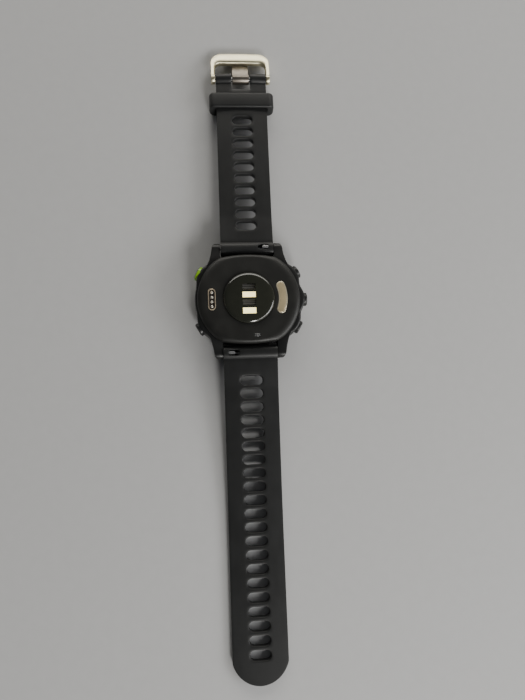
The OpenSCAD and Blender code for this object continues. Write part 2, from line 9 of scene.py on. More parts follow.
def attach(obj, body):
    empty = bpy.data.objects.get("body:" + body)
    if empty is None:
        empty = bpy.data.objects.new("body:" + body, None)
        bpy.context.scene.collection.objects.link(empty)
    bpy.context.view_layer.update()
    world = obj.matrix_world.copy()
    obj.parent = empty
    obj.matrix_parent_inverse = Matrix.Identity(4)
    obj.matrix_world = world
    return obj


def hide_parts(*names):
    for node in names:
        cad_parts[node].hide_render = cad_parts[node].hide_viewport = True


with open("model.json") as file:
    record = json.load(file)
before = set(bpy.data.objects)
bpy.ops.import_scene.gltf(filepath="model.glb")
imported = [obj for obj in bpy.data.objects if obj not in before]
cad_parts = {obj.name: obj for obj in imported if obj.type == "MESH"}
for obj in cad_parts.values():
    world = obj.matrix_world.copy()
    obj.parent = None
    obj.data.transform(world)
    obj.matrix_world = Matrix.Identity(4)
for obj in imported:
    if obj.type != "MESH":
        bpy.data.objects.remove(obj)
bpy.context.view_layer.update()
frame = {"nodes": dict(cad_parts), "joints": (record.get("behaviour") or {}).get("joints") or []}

joints = {joint["name"]: joint for joint in frame["joints"]}

# ---------------------------------------------------------------------------------------------
# View. The watch is looked at from almost straight above, while it lies face down with its
# straps laid out: a phone camera's wide lens, held a little over the long strap.
# ---------------------------------------------------------------------------------------------
view_place = (-0.010781, -0.047561, 0.214443)
view_tilt, view_turn, view_roll = 7.463, -4.071, -1.684

camera = bpy.data.objects.new("camera", bpy.data.cameras.new("camera"))
camera.data.sensor_width = 36
camera.data.lens = 26.56
camera.data.clip_start = 0.005
camera.data.dof.use_dof = False
camera.matrix_world = (
    Matrix.Translation(view_place)
    @ Matrix.Rotation(math.radians(view_roll), 4, "Z")
    @ Matrix.Rotation(math.radians(view_tilt), 4, "X")
    @ Matrix.Rotation(math.radians(view_turn), 4, "Y")
)
bpy.context.scene.collection.objects.link(camera)
bpy.context.scene.camera = camera

# ---------------------------------------------------------------------------------------------
# Inner assembly. A reflective display, an antenna ring, a cast chassis and one round board with
# its shields, switches, motor and sounder, screwed together and shut in the case. None of it
# shows from outside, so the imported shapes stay, each in the finish of its own material.
# ---------------------------------------------------------------------------------------------


class Value:
    """One output of a shader node. Arithmetic on it adds Math nodes to its finish."""

    def __init__(self, finish, socket):
        self.finish, self.socket = finish, socket

    def math(self, operation, *values):
        return self.finish.node("ShaderNodeMath", {"operation": operation}, dict(enumerate(values)))

    def __add__(self, other):
        return self.math("ADD", self, other)

    def __radd__(self, other):
        return self.math("ADD", other, self)

    def __sub__(self, other):
        return self.math("SUBTRACT", self, other)

    def __rsub__(self, other):
        return self.math("SUBTRACT", other, self)

    def __mul__(self, other):
        return self.math("MULTIPLY", self, other)

    def __rmul__(self, other):
        return self.math("MULTIPLY", other, self)

    def __truediv__(self, other):
        return self.math("DIVIDE", self, other)

    def __rtruediv__(self, other):
        return self.math("DIVIDE", other, self)

    def __pow__(self, other):
        return self.math("POWER", self, other)

    def __rpow__(self, other):
        return self.math("POWER", other, self)

    def run(self, operation):
        """One operation on this value alone, such as SINE or FRACT."""
        return self.math(operation, self)

    def size(self):
        return self.run("ABSOLUTE")

    def lower(self, other):
        return self.math("MINIMUM", self, other)

    def higher(self, other):
        return self.math("MAXIMUM", self, other)

    def between(self, low, high):
        """0 below low, 1 above high, and a soft step from one to the other."""
        return self.finish.node(
            "ShaderNodeMapRange", {"interpolation_type": "SMOOTHSTEP"},
            {0: self, 1: low, 2: high, 3: 0.0, 4: 1.0},
        )


class Finish:
    """One material: a Principled shader, and the nodes that vary it over a surface."""

    def __init__(self, name, **constants):
        self.material = bpy.data.materials.new(name)
        self.material.use_nodes = True
        self.tree = self.material.node_tree
        self.shader = next(n for n in self.tree.nodes if n.type == "BSDF_PRINCIPLED")
        self.place = self.node("ShaderNodeTexCoord", {}, {}, "Object")
        self.set(**constants)

    def node(self, kind, settings, inputs, output=0):
        made = self.tree.nodes.new(kind)
        for key, value in settings.items():
            setattr(made, key, value)
        for key, value in inputs.items():
            if isinstance(value, Value):
                self.tree.links.new(value.socket, made.inputs[key])
            else:
                made.inputs[key].default_value = value
        return Value(self, made.outputs[output])

    def set(self, **sockets):
        for key, value in sockets.items():
            socket = self.shader.inputs[key.replace("_", " ")]
            if isinstance(value, Value):
                self.tree.links.new(value.socket, socket)
            else:
                socket.default_value = value

    def noise(self, grain, detail=2.0, vector=None, warp=0.0):
        """Smooth noise whose lumps are about grain metres across, pulled out of shape by warp."""
        return self.node(
            "ShaderNodeTexNoise", {},
            {"Vector": vector or self.place, "Scale": 1 / grain, "Detail": detail, "Distortion": warp},
        )

    def moved(self, place=(0, 0, 0), turn=(0, 0, 0), scale=(1, 1, 1)):
        """Object coordinates, first moved so that place is the origin, then scaled and turned."""
        shifted = self.node(
            "ShaderNodeVectorMath", {"operation": "SUBTRACT"}, {0: self.place, 1: tuple(place)}
        )
        return self.node(
            "ShaderNodeMapping", {}, {"Vector": shifted, "Rotation": tuple(turn), "Scale": tuple(scale)}
        )

    def axes(self, vector=None):
        """X, Y and Z of a vector, as three values."""
        apart = self.node("ShaderNodeSeparateXYZ", {}, {"Vector": vector or self.place})
        return [Value(self, output) for output in apart.socket.node.outputs]

    def colours(self, mask, low, high):
        return self.node("ShaderNodeMix", {"data_type": "RGBA"}, {0: mask, 6: low, 7: high}, 2)

    def bump(self, height, depth, strength=1.0):
        """Raised by height, from 0 to 1, times depth in metres."""
        return self.node("ShaderNodeBump", {}, {"Strength": strength, "Distance": depth, "Height": height})


def grey(value, tint=(1.0, 1.0, 1.0)):
    return tuple(value * part for part in tint) + (1.0,)


def plastic(name, dark, light, roughness, grain=0.0002, depth=0.000004):
    """Moulded plastic: spark-eroded grain, a slow drift in tone and fine dust."""
    finish = Finish(name, Metallic=0.0)
    fine, drift = finish.noise(grain, 3.0), finish.noise(0.006, 3.0)
    dust = finish.noise(0.00035, 1.0).between(0.72, 0.8) * finish.noise(0.004, 1.0).between(0.5, 0.7)
    tone = finish.colours(drift.between(0.3, 0.7), dark, light)
    finish.set(
        Base_Color=finish.colours(dust * 0.16, tone, (0.3, 0.3, 0.29, 1.0)),
        Roughness=roughness + (fine - 0.5) * 0.12 + dust * 0.1,
        Normal=finish.bump(fine, depth),
    )
    return finish.material


def metal(name, dark, light, roughness, along=(1, 0, 0), grain=0.00006, depth=0.000002):
    """Drawn or rolled metal: hair lines that run along one axis, and faint handling marks."""
    finish = Finish(name, Metallic=1.0)
    lines = finish.noise(grain, 2.0, finish.moved(scale=[0.04 if part else 1.0 for part in along]))
    marks = finish.noise(0.0012, 3.0)
    finish.set(
        Base_Color=finish.colours(lines.between(0.25, 0.75), dark, light),
        Roughness=roughness + (lines - 0.5) * 0.16 + (marks - 0.5) * 0.14,
        Normal=finish.bump(lines, depth),
    )
    return finish.material


def circuit(name, mask, trace):
    """Solder mask over copper: lighter straight tracks, rows of pads and pin-point vias."""
    finish = Finish(name, Metallic=0.0, Coat_Weight=0.4)
    tracks = finish.node(
        "ShaderNodeTexBrick", {"offset": 0.5},
        {
            "Vector": finish.place, "Scale": 320.0, "Mortar Size": 0.012,
            "Color1": grey(0), "Color2": grey(0), "Mortar": grey(1),
        },
        "Fac",
    )
    dots = finish.node("ShaderNodeTexVoronoi", {}, {"Vector": finish.place, "Scale": 900.0}, "Distance")
    vias = 1 - dots.between(0.1, 0.16)
    finish.set(
        Base_Color=finish.colours(vias, finish.colours(tracks, mask, trace), (0.75, 0.6, 0.3, 1.0)),
        Roughness=0.35 + tracks * 0.1,
        Normal=finish.bump(tracks.higher(vias), 0.00003),
    )
    return finish.material


def dress(node, material):
    """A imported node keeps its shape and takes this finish."""
    for place in frame["nodes"][node].material_slots:
        place.material = material


wire_steel = metal("spring_wire", grey(0.42), grey(0.62), 0.28)
tinned_steel = metal("tinned_steel", grey(0.5, (1, 0.99, 0.96)), grey(0.7, (1, 0.99, 0.96)), 0.34, (0, 1, 0))
board_green = circuit("board_mask", (0.008, 0.07, 0.035, 1.0), (0.03, 0.2, 0.1, 1.0))
seal_rubber = plastic("seal_rubber", grey(0.02), grey(0.035), 0.6, 0.00012)

display = Finish("display_panel_finish", Metallic=0.0, Coat_Weight=0.5)
dot_pitch = 0.00013
dot_x, dot_y, _ = display.axes(display.moved(scale=(1 / dot_pitch,) * 3))
off_x, off_y = [(value.run("FRACT") - 0.5).size() for value in (dot_x, dot_y)]
dots = off_x.higher(off_y).between(0.38, 0.46)
display.set(
    Base_Color=display.colours(dots, (0.055, 0.066, 0.06, 1.0), (0.02, 0.024, 0.023, 1.0)),
    Roughness=0.3 + display.noise(0.002) * 0.1,
)
dress("display_panel", display.material)

foil = Finish("battery_foil", Metallic=0.85)
creases = foil.noise(0.0016, 4.0, warp=0.6)
tape = foil.axes()[1].between(0.0085, 0.0087)
foil.set(
    Base_Color=foil.colours(tape, grey(0.5), (0.55, 0.33, 0.04, 1.0)),
    Roughness=0.3 + creases * 0.25,
    Normal=foil.bump(creases, 0.00008),
)
dress("battery", foil.material)

dress("antenna_ring", metal("antenna_brass", (0.5, 0.33, 0.14, 1), (0.72, 0.52, 0.26, 1), 0.32, (0, 0, 1)))
dress("chassis", metal("cast_magnesium", grey(0.2), grey(0.3), 0.55, (0, 0, 0), 0.0003, 0.00001))
dress("board_screws", wire_steel)
dress("main_board", board_green)
dress("sensor_board", circuit("sensor_board_mask", (0.006, 0.02, 0.015, 1.0), (0.015, 0.06, 0.04, 1.0)))
dress("board_shields", tinned_steel)
dress("vibration_motor", metal("motor_can", grey(0.45), grey(0.6), 0.3, (0, 0, 1)))
dress("sounder", metal("sounder_disc", (0.55, 0.4, 0.16, 1), (0.74, 0.56, 0.28, 1), 0.3, (0, 0, 1)))
dress("side_switches", plastic("switch_nylon", (0.5, 0.47, 0.4, 1), (0.6, 0.57, 0.5, 1), 0.5))
for node in ("button_seals", "back_seal", "glass_gasket"):
    dress(node, seal_rubber)

# ---------------------------------------------------------------------------------------------
# Front glass. A disc of strengthened glass, 35.8 mm across and ground to a bevel at its edge,
# with a black border printed on its inner side. It is bonded onto the bezel's ledge.
# ---------------------------------------------------------------------------------------------
MM = 0.001
glass_radius, display_radius = 17.9, 16.0


def lathe(profile, steps):
    """A closed outline of (radius, height) points, turned once round the Z axis, in mm."""
    shape = bmesh.new()
    verts = [shape.verts.new((radius, 0, height)) for radius, height in profile]
    edges = [shape.edges.new((a, b)) for a, b in zip(verts, verts[1:] + verts[:1])]
    bmesh.ops.spin(
        shape, geom=verts + edges, cent=(0, 0, 0), axis=(0, 0, 1), angle=math.tau, steps=steps,
        use_merge=True, use_duplicate=False,
    )
    bmesh.ops.remove_doubles(shape, verts=shape.verts, dist=1e-4)
    bmesh.ops.recalc_face_normals(shape, faces=shape.faces)
    return shape


def piece(name, shape, body, material, replaces=(), crease=32):
    """A mesh in mm becomes a piece in metres that rides on a body and stands for these nodes."""
    for face in shape.faces:
        face.smooth = True
    for edge in shape.edges:
        edge.smooth = edge.calc_face_angle(0.0) < math.radians(crease)
    bmesh.ops.scale(shape, vec=(MM, MM, MM), verts=shape.verts)
    mesh = bpy.data.meshes.new(name)
    shape.to_mesh(mesh)
    shape.free()
    made = bpy.data.objects.new(name, mesh)
    bpy.context.scene.collection.objects.link(made)
    mesh.materials.append(material)
    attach(made, body)
    if replaces:
        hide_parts(*replaces)
    return made


def distance(x, y):
    """How far a place is from an axis, as a shader's value."""
    return (x * x + y * y) ** 0.5


glass = Finish("bonded_glass", Metallic=0.0, Coat_Weight=1.0, Coat_Roughness=0.02, IOR=1.5)
glass_x, glass_y, _ = glass.axes()
border = distance(glass_x, glass_y).between(display_radius * MM - 0.00005, display_radius * MM + 0.00005)
smears = glass.noise(0.006, 3.0, warp=1.5)
glass.set(
    Base_Color=glass.colours(border, (0.004, 0.005, 0.005, 1.0), (0.002, 0.002, 0.0025, 1.0)),
    Roughness=0.04 + smears.between(0.45, 0.8) * 0.06,
    Alpha=0.62 + border * 0.38,
)
piece(
    "bonded_front_glass",
    lathe([(0, 0), (glass_radius - 0.5, 0), (glass_radius - 0.38, 0.02), (glass_radius - 0.05, 0.34),
           (glass_radius, 0.42), (glass_radius, 1.5), (0, 1.5)], 180),
    "watch_case", glass.material, ["front_glass"],
)

# ---------------------------------------------------------------------------------------------
# Bezel. A ring of fibre-reinforced polymer that frames the glass. Its front face is turned flat,
# and the slope down to the case carries a fine satin grain.
# ---------------------------------------------------------------------------------------------
bezel_finish = Finish("bezel_satin", Metallic=0.0)
bezel_x, bezel_y, _ = bezel_finish.axes()
turning = (distance(bezel_x, bezel_y) * 42000.0).run("SINE")
bezel_grain = bezel_finish.noise(0.00018, 3.0)
bezel_finish.set(
    Base_Color=bezel_finish.colours(bezel_grain, grey(0.018), grey(0.03)),
    Roughness=0.36 + bezel_grain * 0.15,
    Normal=bezel_finish.bump(bezel_grain + turning * 0.15, 0.000004),
)
piece(
    "bezel_ring",
    lathe([(17.98, 0.3), (18.1, 0.17), (20.0, 0.15), (20.2, 0.2), (20.9, 0.6), (21.1, 0.8), (21.42, 1.75),
           (21.5, 2.0), (21.5, 2.4), (19.78, 2.4), (19.78, 1.92), (18.68, 1.92), (18.68, 2.4), (16.6, 2.4),
           (16.6, 1.65), (17.98, 1.65)], 240),
    "watch_case", bezel_finish.material, ["bezel"],
)

# ---------------------------------------------------------------------------------------------
# Middle case. One moulding in fibre-reinforced polymer: a ring that swells round each of the
# five buttons, with a pair of lugs at each end for the spring bars, 22 mm apart.
# ---------------------------------------------------------------------------------------------
case_radius, case_inner, case_foot, rim_height, button_height = 21.9, 17.0, 2.42, 9.2, 6.0
lobe_reach, lobe_span, lobe_power, crest_rise, crest_fall = 1.25, 18.0, 0.85, 0.15, 0.2
pocket_radius, pocket_floor, accent_seat = 2.9, 20.7, 3.06
lug_inner, recess_wall, recess_curve, squeezed_depth = 11.1, 18.4, 60.0, 2.0
bar_place, bar_height, lug_tip = 21.8, 6.4, 2.3
lug_from, lug_straight, lug_slope_from, lug_foot, lug_top = 10.5, 0.62, 15.5, 2.9, 9.15
button_angles = {
    "light_button": 30, "up_button": 0, "down_button": -30, "start_button": 150, "back_button": 210,
}
case_black = plastic(
    "case_polymer_grain", grey(0.009, (0.98, 1, 1)), grey(0.015, (0.98, 1, 0.98)), 0.4, 0.00016
)


def share_of(value, low, high):
    """How far a value is from low to high, from 0 to 1."""
    return min(1.0, max(0.0, (value - low) / (high - low)))


def soft_step(value, low, high):
    share = share_of(value, low, high)
    return share * share * (3 - 2 * share)


def wall_at(x):
    """How far out the case reaches behind a strap."""
    return recess_wall - recess_curve + math.sqrt(recess_curve ** 2 - x * x)


def draw_in(shape, radius):
    """Squeezes the two ends of a round piece, so that its edge behind each strap follows the wall."""
    for vert in shape.verts:
        x, y = min(abs(vert.co.x), lug_inner), abs(vert.co.y)
        near, far, wall = wall_at(x) - squeezed_depth, math.sqrt(radius ** 2 - x * x), wall_at(x)
        if y > near and vert.co.z > 3.0:
            drawn = near + (min(y, far) - near) * (wall - near) / (far - near)
            share = soft_step(abs(vert.co.x), lug_inner + 0.1, lug_inner + 6.0)
            vert.co.y = math.copysign(drawn + (y - drawn) * share, vert.co.y)


def open_edges(shape):
    return [edge for edge in shape.edges if len(edge.link_faces) == 1]


def sharp_edges(shape, angle):
    """The edges whose two faces meet at more than this angle, in degrees."""
    return [edge for edge in shape.edges if edge.calc_face_angle(0.0) > math.radians(angle)]


def new_verts(geometry):
    return [item for item in geometry if isinstance(item, bmesh.types.BMVert)]


def thicken(shape):
    """Gives a sheet a second skin and a rim. The second skin's points come back."""
    return new_verts(bmesh.ops.extrude_face_region(shape, geom=shape.faces[:])["geom"])


def round_off(shape, edges, offset, segments, clamp=True):
    """Rounds these edges to a width in mm."""
    bmesh.ops.bevel(
        shape, geom=edges, offset=offset, segments=segments, profile=0.5, affect="EDGES",
        clamp_overlap=clamp, material=-1,
    )


def add_to(whole, part):
    """Puts one shape into another, where it stands."""
    mesh = bpy.data.meshes.new("part")
    part.to_mesh(mesh)
    part.free()
    whole.from_mesh(mesh)
    bpy.data.meshes.remove(mesh)


def sink(shape, inside, settle, drop):
    """Opens the faces inside, settles the rim on its true outline, and gives the hole walls and a floor."""
    holed = [face for face in shape.faces if any(inside(vert.co) for vert in face.verts)]
    bmesh.ops.delete(shape, geom=holed, context="FACES")
    rim = list(dict.fromkeys(vert for edge in open_edges(shape) for vert in edge.verts))
    for vert in rim:
        vert.co = settle(vert.co)
    bmesh.ops.remove_doubles(shape, verts=rim, dist=0.06)
    rim = open_edges(shape)
    walls = bmesh.ops.extrude_edge_only(shape, edges=rim)["geom"]
    for vert in new_verts(walls):
        vert.co = drop(vert.co)
    foot = [item for item in walls if isinstance(item, bmesh.types.BMEdge) and len(item.link_faces) == 1]
    bmesh.ops.edgeloop_fill(shape, edges=foot)
    round_off(shape, rim, 0.08, 2, clamp=False)


case_side = [(21.3, case_foot), (21.52, 2.52), (21.66, 2.8), (21.8, 3.15), (case_radius, 3.5)]
case_side += [(case_radius, 3.5 + 0.38 * i) for i in range(1, 12)]
case_side += [
    (21.87, 7.98), (21.82, 8.25), (21.72, 8.55), (21.56, 8.8), (21.34, 8.99), (21.1, 9.11), (20.86, 9.17),
    (20.6, rim_height),
]


def swell_at(turn, z):
    """How far the case swells round the nearest button."""
    nearest = min(abs((turn - angle + 180) % 360 - 180) for angle in button_angles.values())
    lobe = (0.5 + 0.5 * math.cos(math.pi * min(1.0, nearest / lobe_span))) ** lobe_power
    crest = 1 + crest_rise * soft_step(z, 8.0, 8.95) - crest_fall * soft_step(z, 9.0, rim_height)
    return lobe_reach * lobe * crest * soft_step(z, 2.5, 3.4)


def case_reach(turn, z):
    """How far out the case's side is, at this angle in degrees and this height."""
    for (near, low), (far, high) in zip(case_side, case_side[1:]):
        if z <= high:
            break
    return near + (far - near) * min(1.0, (z - low) / (high - low)) + swell_at(turn, z)


case_shell = lathe([(case_inner, case_foot)] + case_side + [(case_inner, rim_height)], 300)
for vert in case_shell.verts:
    away = math.hypot(vert.co.x, vert.co.y)
    if away > 20:
        grown = 1 + swell_at(math.degrees(math.atan2(vert.co.y, vert.co.x)), vert.co.z) / away
        vert.co.x, vert.co.y = vert.co.x * grown, vert.co.y * grown
for name, angle in button_angles.items():
    across = Matrix.Rotation(math.radians(-angle), 4, "Z")
    radius = accent_seat if name == "start_button" else pocket_radius

    def inside(point):
        place = across @ point
        return place.x > pocket_floor + 0.25 and math.hypot(place.y, place.z - button_height) < radius + 0.03

    def settle(point):
        place = across @ point
        away = math.hypot(place.y, place.z - button_height)
        place.y, place.z = place.y * radius / away, button_height + (place.z - button_height) * radius / away
        for _ in range(4):
            reach = case_reach(angle + math.degrees(math.atan2(place.y, place.x)), place.z)
            place.x = math.sqrt(reach ** 2 - place.y ** 2)
        return across.inverted() @ place

    def drop(point):
        place = across @ point
        place.x = pocket_floor
        return across.inverted() @ place

    sink(case_shell, inside, settle, drop)
draw_in(case_shell, case_radius)

lug_outline = [
    (lug_from, 18.3), (13.0, 17.35), (16.2, 15.75), (19.0, 15.0), (21.3, 14.65), (22.6, 14.4),
    (23.4, 14.0), (23.85, 13.55), (24.1, 12.9),
]


def lug_outer(y):
    """How far to the side a lug's outer face is."""
    for (near, wide), (far, slim) in zip(lug_outline, lug_outline[1:]):
        if y <= far + 1e-6:
            return wide + (slim - wide) * (y - near) / (far - near)
    return lug_outline[-1][1]


def lug_point(along, high, outer):
    """A place on a lug's inner or outer face: along it to its round tip, and up it, both from 0 to 1."""
    y = lug_from + (bar_place - lug_from) * min(1.0, along / lug_straight)
    reach = math.radians(90 * max(0.0, (along - lug_straight) / (1 - lug_straight)))
    y += lug_tip * math.sin(reach)
    slope = soft_step(y, lug_slope_from, bar_place)
    top = lug_top - (lug_top - bar_height - lug_tip) * slope
    low = lug_foot + (bar_height - lug_tip - lug_foot) * slope
    if along > lug_straight:
        top, low = bar_height + lug_tip * math.cos(reach), bar_height - lug_tip * math.cos(reach)
    return Vector((lug_outer(y) if outer else lug_inner, y, low + (top - low) * high))


for side_x in (1, -1):
    for side_y in (1, -1):
        lug = bmesh.new()
        bmesh.ops.create_grid(lug, x_segments=28, y_segments=8, size=1)
        grown = set(thicken(lug))
        for vert in lug.verts:
            vert.co = lug_point((vert.co.x + 1) / 2, (vert.co.y + 1) / 2, vert in grown)
        bmesh.ops.remove_doubles(lug, verts=lug.verts, dist=1e-4)
        bmesh.ops.recalc_face_normals(lug, faces=lug.faces)
        outer = [edge for edge in sharp_edges(lug, 50) if sum(vert.co.x for vert in edge.verts) / 2 > 12]
        round_off(lug, outer, 0.95, 5)
        round_off(lug, sharp_edges(lug, 50), 0.22, 2)
        bmesh.ops.scale(lug, vec=(side_x, side_y, 1), verts=lug.verts)
        if side_x * side_y < 0:
            bmesh.ops.reverse_faces(lug, faces=lug.faces)
        add_to(case_shell, lug)
piece("middle_case", case_shell, "watch_case", case_black, ["case_body"], 40)

# ---------------------------------------------------------------------------------------------
# Buttons. Five turned metal caps with a dark coating, each on a stem that runs through a seal
# and is held by a clip inside the case. The start button is ringed by a lime green insert.
# ---------------------------------------------------------------------------------------------
cap_radius, cap_end, cap_base, stem_radius, stem_end = 2.75, 24.2, 21.8, 1.1, 18.5
groove_from, groove_to, groove_depth = 18.75, 19.1, 0.32
accent_inner, accent_outer, accent_foot, accent_top = 2.82, 3.04, 21.5, 23.75


def turned_cap(name, angle):
    """Dark coated metal with fine rings turned round this button's own axis."""
    finish = Finish(name + "_coating", Metallic=0.6)
    turned = finish.moved((0, 0, button_height * MM), (0, 0, math.radians(-angle)))
    _, out_y, out_z = finish.axes(turned)
    ring = distance(out_y, out_z)
    rub = finish.noise(0.0005, 3.0)
    edge = (ring - (cap_radius - 0.15) * MM).size().between(0.00005, 0.00025)
    finish.set(
        Base_Color=finish.colours(edge, grey(0.06), finish.colours(rub, grey(0.012), grey(0.022))),
        Roughness=0.28 + rub * 0.18,
        Normal=finish.bump((ring * 34000.0).run("SINE") * 0.5 + 0.5, 0.000004),
    )
    return finish.material


def button_stand(angle):
    """Lays a turned shape's axis along a button's: straight out of the case's side at this angle."""
    return (
        Matrix.Rotation(math.radians(angle), 4, "Z") @ Matrix.Translation((0, 0, button_height))
        @ Matrix.Rotation(math.pi / 2, 4, "Y")
    )


for name, angle in button_angles.items():
    cap = lathe(
        [(0, stem_end), (stem_radius - 0.12, stem_end), (stem_radius, stem_end + 0.12),
         (stem_radius, groove_from), (stem_radius - groove_depth, groove_from),
         (stem_radius - groove_depth, groove_to), (stem_radius, groove_to), (stem_radius, cap_base),
         (cap_radius - 0.15, cap_base), (cap_radius, cap_base + 0.15), (cap_radius, cap_end - 0.62),
         (cap_radius - 0.06, cap_end - 0.42), (cap_radius - 0.2, cap_end - 0.22),
         (cap_radius - 0.42, cap_end - 0.12), (cap_radius - 0.6, cap_end - 0.13),
         (cap_radius - 0.75, cap_end - 0.2), (1.2, cap_end - 0.08), (0, cap_end - 0.04)],
        72,
    )
    bmesh.ops.transform(cap, matrix=button_stand(angle), verts=cap.verts)
    piece(name + "_cap", cap, name, turned_cap(name, angle), [name])
    dress(name + "_clip", wire_steel)
    dress(name + "_spring", wire_steel)

accent = Finish("lime_insert", Metallic=0.0, Coat_Weight=0.3, Coat_Roughness=0.2)
accent_grain = accent.noise(0.0003, 3.0)
accent.set(
    Base_Color=accent.colours(accent_grain, (0.24, 0.5, 0.012, 1.0), (0.33, 0.62, 0.025, 1.0)),
    Roughness=0.3 + accent_grain * 0.15,
    Normal=accent.bump(accent_grain, 0.000003),
)
ring = lathe(
    [(accent_inner, accent_foot), (accent_outer, accent_foot), (accent_outer, accent_top - 0.2),
     (3.0, accent_top - 0.05), (2.92, accent_top), (2.86, accent_top - 0.05),
     (accent_inner, accent_top - 0.19)],
    72,
)
bmesh.ops.transform(ring, matrix=button_stand(button_angles["start_button"]), verts=ring.verts)
piece("lime_ring", ring, "watch_case", accent.material, ["start_accent_ring"])

# ---------------------------------------------------------------------------------------------
# Back cover. A thin moulded dish that closes the case and rests on the wrist, held by its
# seal and clips. It has a hole for the sensor, and seats for the port, the inlay and the vent.
# ---------------------------------------------------------------------------------------------
cover_top, cover_radius, cover_flat, lens_radius = 11.3, 20.9, 17.5, 10.4
port_x, port_y, port_length, port_width, port_rim = -14.95, -0.4, 8.9, 3.1, 0.4
inlay_radius, inlay_width, inlay_span, inlay_depth = 13.8, 3.6, 20.5, 0.45
vent_x, vent_y, vent_length, vent_width = 2.8, -15.2, 2.4, 1.2
port_floor, vent_floor, cover_floor, cover_inner = 10.4, 11.0, 10.6, 8.8

cover_black = plastic(
    "cover_polymer_grain", grey(0.012, (1, 1, 0.9)), grey(0.018, (1, 1, 0.9)), 0.46, 0.00013, 0.000003
)


def crown(radius):
    """Height of the cover at this radius: almost flat, and drooping to its edge."""
    if radius <= cover_flat:
        return cover_top - 0.1 * ((radius - lens_radius) / (cover_flat - lens_radius)) ** 2
    share = min(1.0, (radius - cover_flat) / (cover_radius - cover_flat))
    edge = rim_height + 0.35
    return edge + (cover_top - 0.1 - edge) * math.sqrt(max(0.0, 1 - share * share))


def from_spine(point, spine, radius):
    """How far a point is from its place on a seat's middle line, and where the seat's edge is."""
    away = max(1e-6, math.hypot(point.x - spine[0], point.y - spine[1]))
    x, y = [spine[i] + (point[i] - spine[i]) * radius / away for i in (0, 1)]
    return away, Vector((x, y, point.z))


def on_port(point, radius):
    half = (port_length - port_width) / 2
    return from_spine(point, (port_x, max(port_y - half, min(port_y + half, point.y))), radius)


def on_vent(point, radius):
    half = (vent_length - vent_width) / 2
    return from_spine(point, (max(vent_x - half, min(vent_x + half, point.x)), vent_y), radius)


def on_inlay(point, radius):
    turn = math.radians(max(-inlay_span, min(inlay_span, math.degrees(math.atan2(point.y, point.x)))))
    return from_spine(point, (inlay_radius * math.cos(turn), inlay_radius * math.sin(turn)), radius)


droop = cover_radius - cover_flat
radii = [10.62 + 0.33 * i for i in range(21)]
radii += [cover_flat + droop * math.sin(math.radians(turn)) for turn in range(4, 90, 7)]
cover = lathe(
    [(cover_inner, cover_floor), (lens_radius + 0.05, cover_floor), (lens_radius + 0.05, 11.2),
     (lens_radius + 0.1, cover_top - 0.02)]
    + [(radius, crown(radius)) for radius in radii]
    + [(cover_radius, 9.55), (cover_radius, 9.24), (cover_radius - 0.1, rim_height),
       (cover_inner, rim_height)],
    280,
)
for outline, radius, floor in (
    (on_port, (port_width - port_rim) / 2, port_floor),
    (on_vent, vent_width / 2 + 0.05, vent_floor),
    (on_inlay, inlay_width / 2 + 0.07, cover_top - inlay_depth),
):
    sink(
        cover,
        lambda point: point.z > cover_top - 0.3 and outline(point, radius)[0] < radius + 0.03,
        lambda point: outline(point, radius)[1],
        lambda point: Vector((point.x, point.y, floor)),
    )
draw_in(cover, cover_radius)
piece("moulded_back_cover", cover, "watch_case", cover_black, ["back_cover"], 40)

# ---------------------------------------------------------------------------------------------
# Optical sensor. A domed window in dark tinted polymer over a small board, with two light
# windows and two detector windows in a row. The dome stands 2 mm off the cover on a shoulder.
# ---------------------------------------------------------------------------------------------
eye_width, eye_length, eye_pitch, eye_shift, dome_top = 5.3, 2.5, 3.25, -0.6, 13.3

lens = Finish("tinted_window", Metallic=0.0, Coat_Roughness=0.03, IOR=1.5)
lens_x, lens_y, _ = lens.axes()
eyes = []
for i in range(4):
    middle = ((1.5 - i) * eye_pitch + eye_shift) * MM
    past_side, past_end = lens_x.size() - eye_width / 2 * MM, (lens_y - middle).size() - eye_length / 2 * MM
    eyes.append(1 - past_side.higher(past_end).between(-0.00006, 0.00006))
clear = eyes[0].higher(eyes[1]).higher(eyes[2]).higher(eyes[3])
smudge = lens.noise(0.004, 4.0, warp=1.0)
scuff = lens.noise(0.0002, 2.0, lens.moved(scale=(1.0, 0.08, 1.0))).between(0.66, 0.74)
shoulder = distance(lens_x, lens_y).between(0.0092, 0.0098)
lens.set(
    Base_Color=lens.colours(smudge, (0.018, 0.019, 0.014, 1.0), (0.028, 0.029, 0.021, 1.0)),
    Roughness=0.05 + smudge.between(0.4, 0.8) * 0.07 + scuff * 0.04 + shoulder * 0.1,
    Coat_Weight=0.6 + shoulder * 0.3,
    Alpha=1 - clear * 0.86,
)
piece(
    "sensor_dome",
    lathe(
        [(0, 12.3), (7.6, 12.3), (7.6, 10.6), (lens_radius, 10.6), (lens_radius, 11.38), (10.34, 11.62),
         (10.2, 11.86), (9.98, 12.08), (9.7, 12.27), (9.38, 12.42), (9.0, 12.54)]
        + [(r, dome_top - 0.7 * (r / 8.8) ** 2) for r in (8.5, 7.8, 7.0, 6.0, 5.0, 4.0, 3.0, 2.0, 1.0, 0)],
        192,
    ),
    "watch_case", lens.material, ["sensor_window"], 50,
)

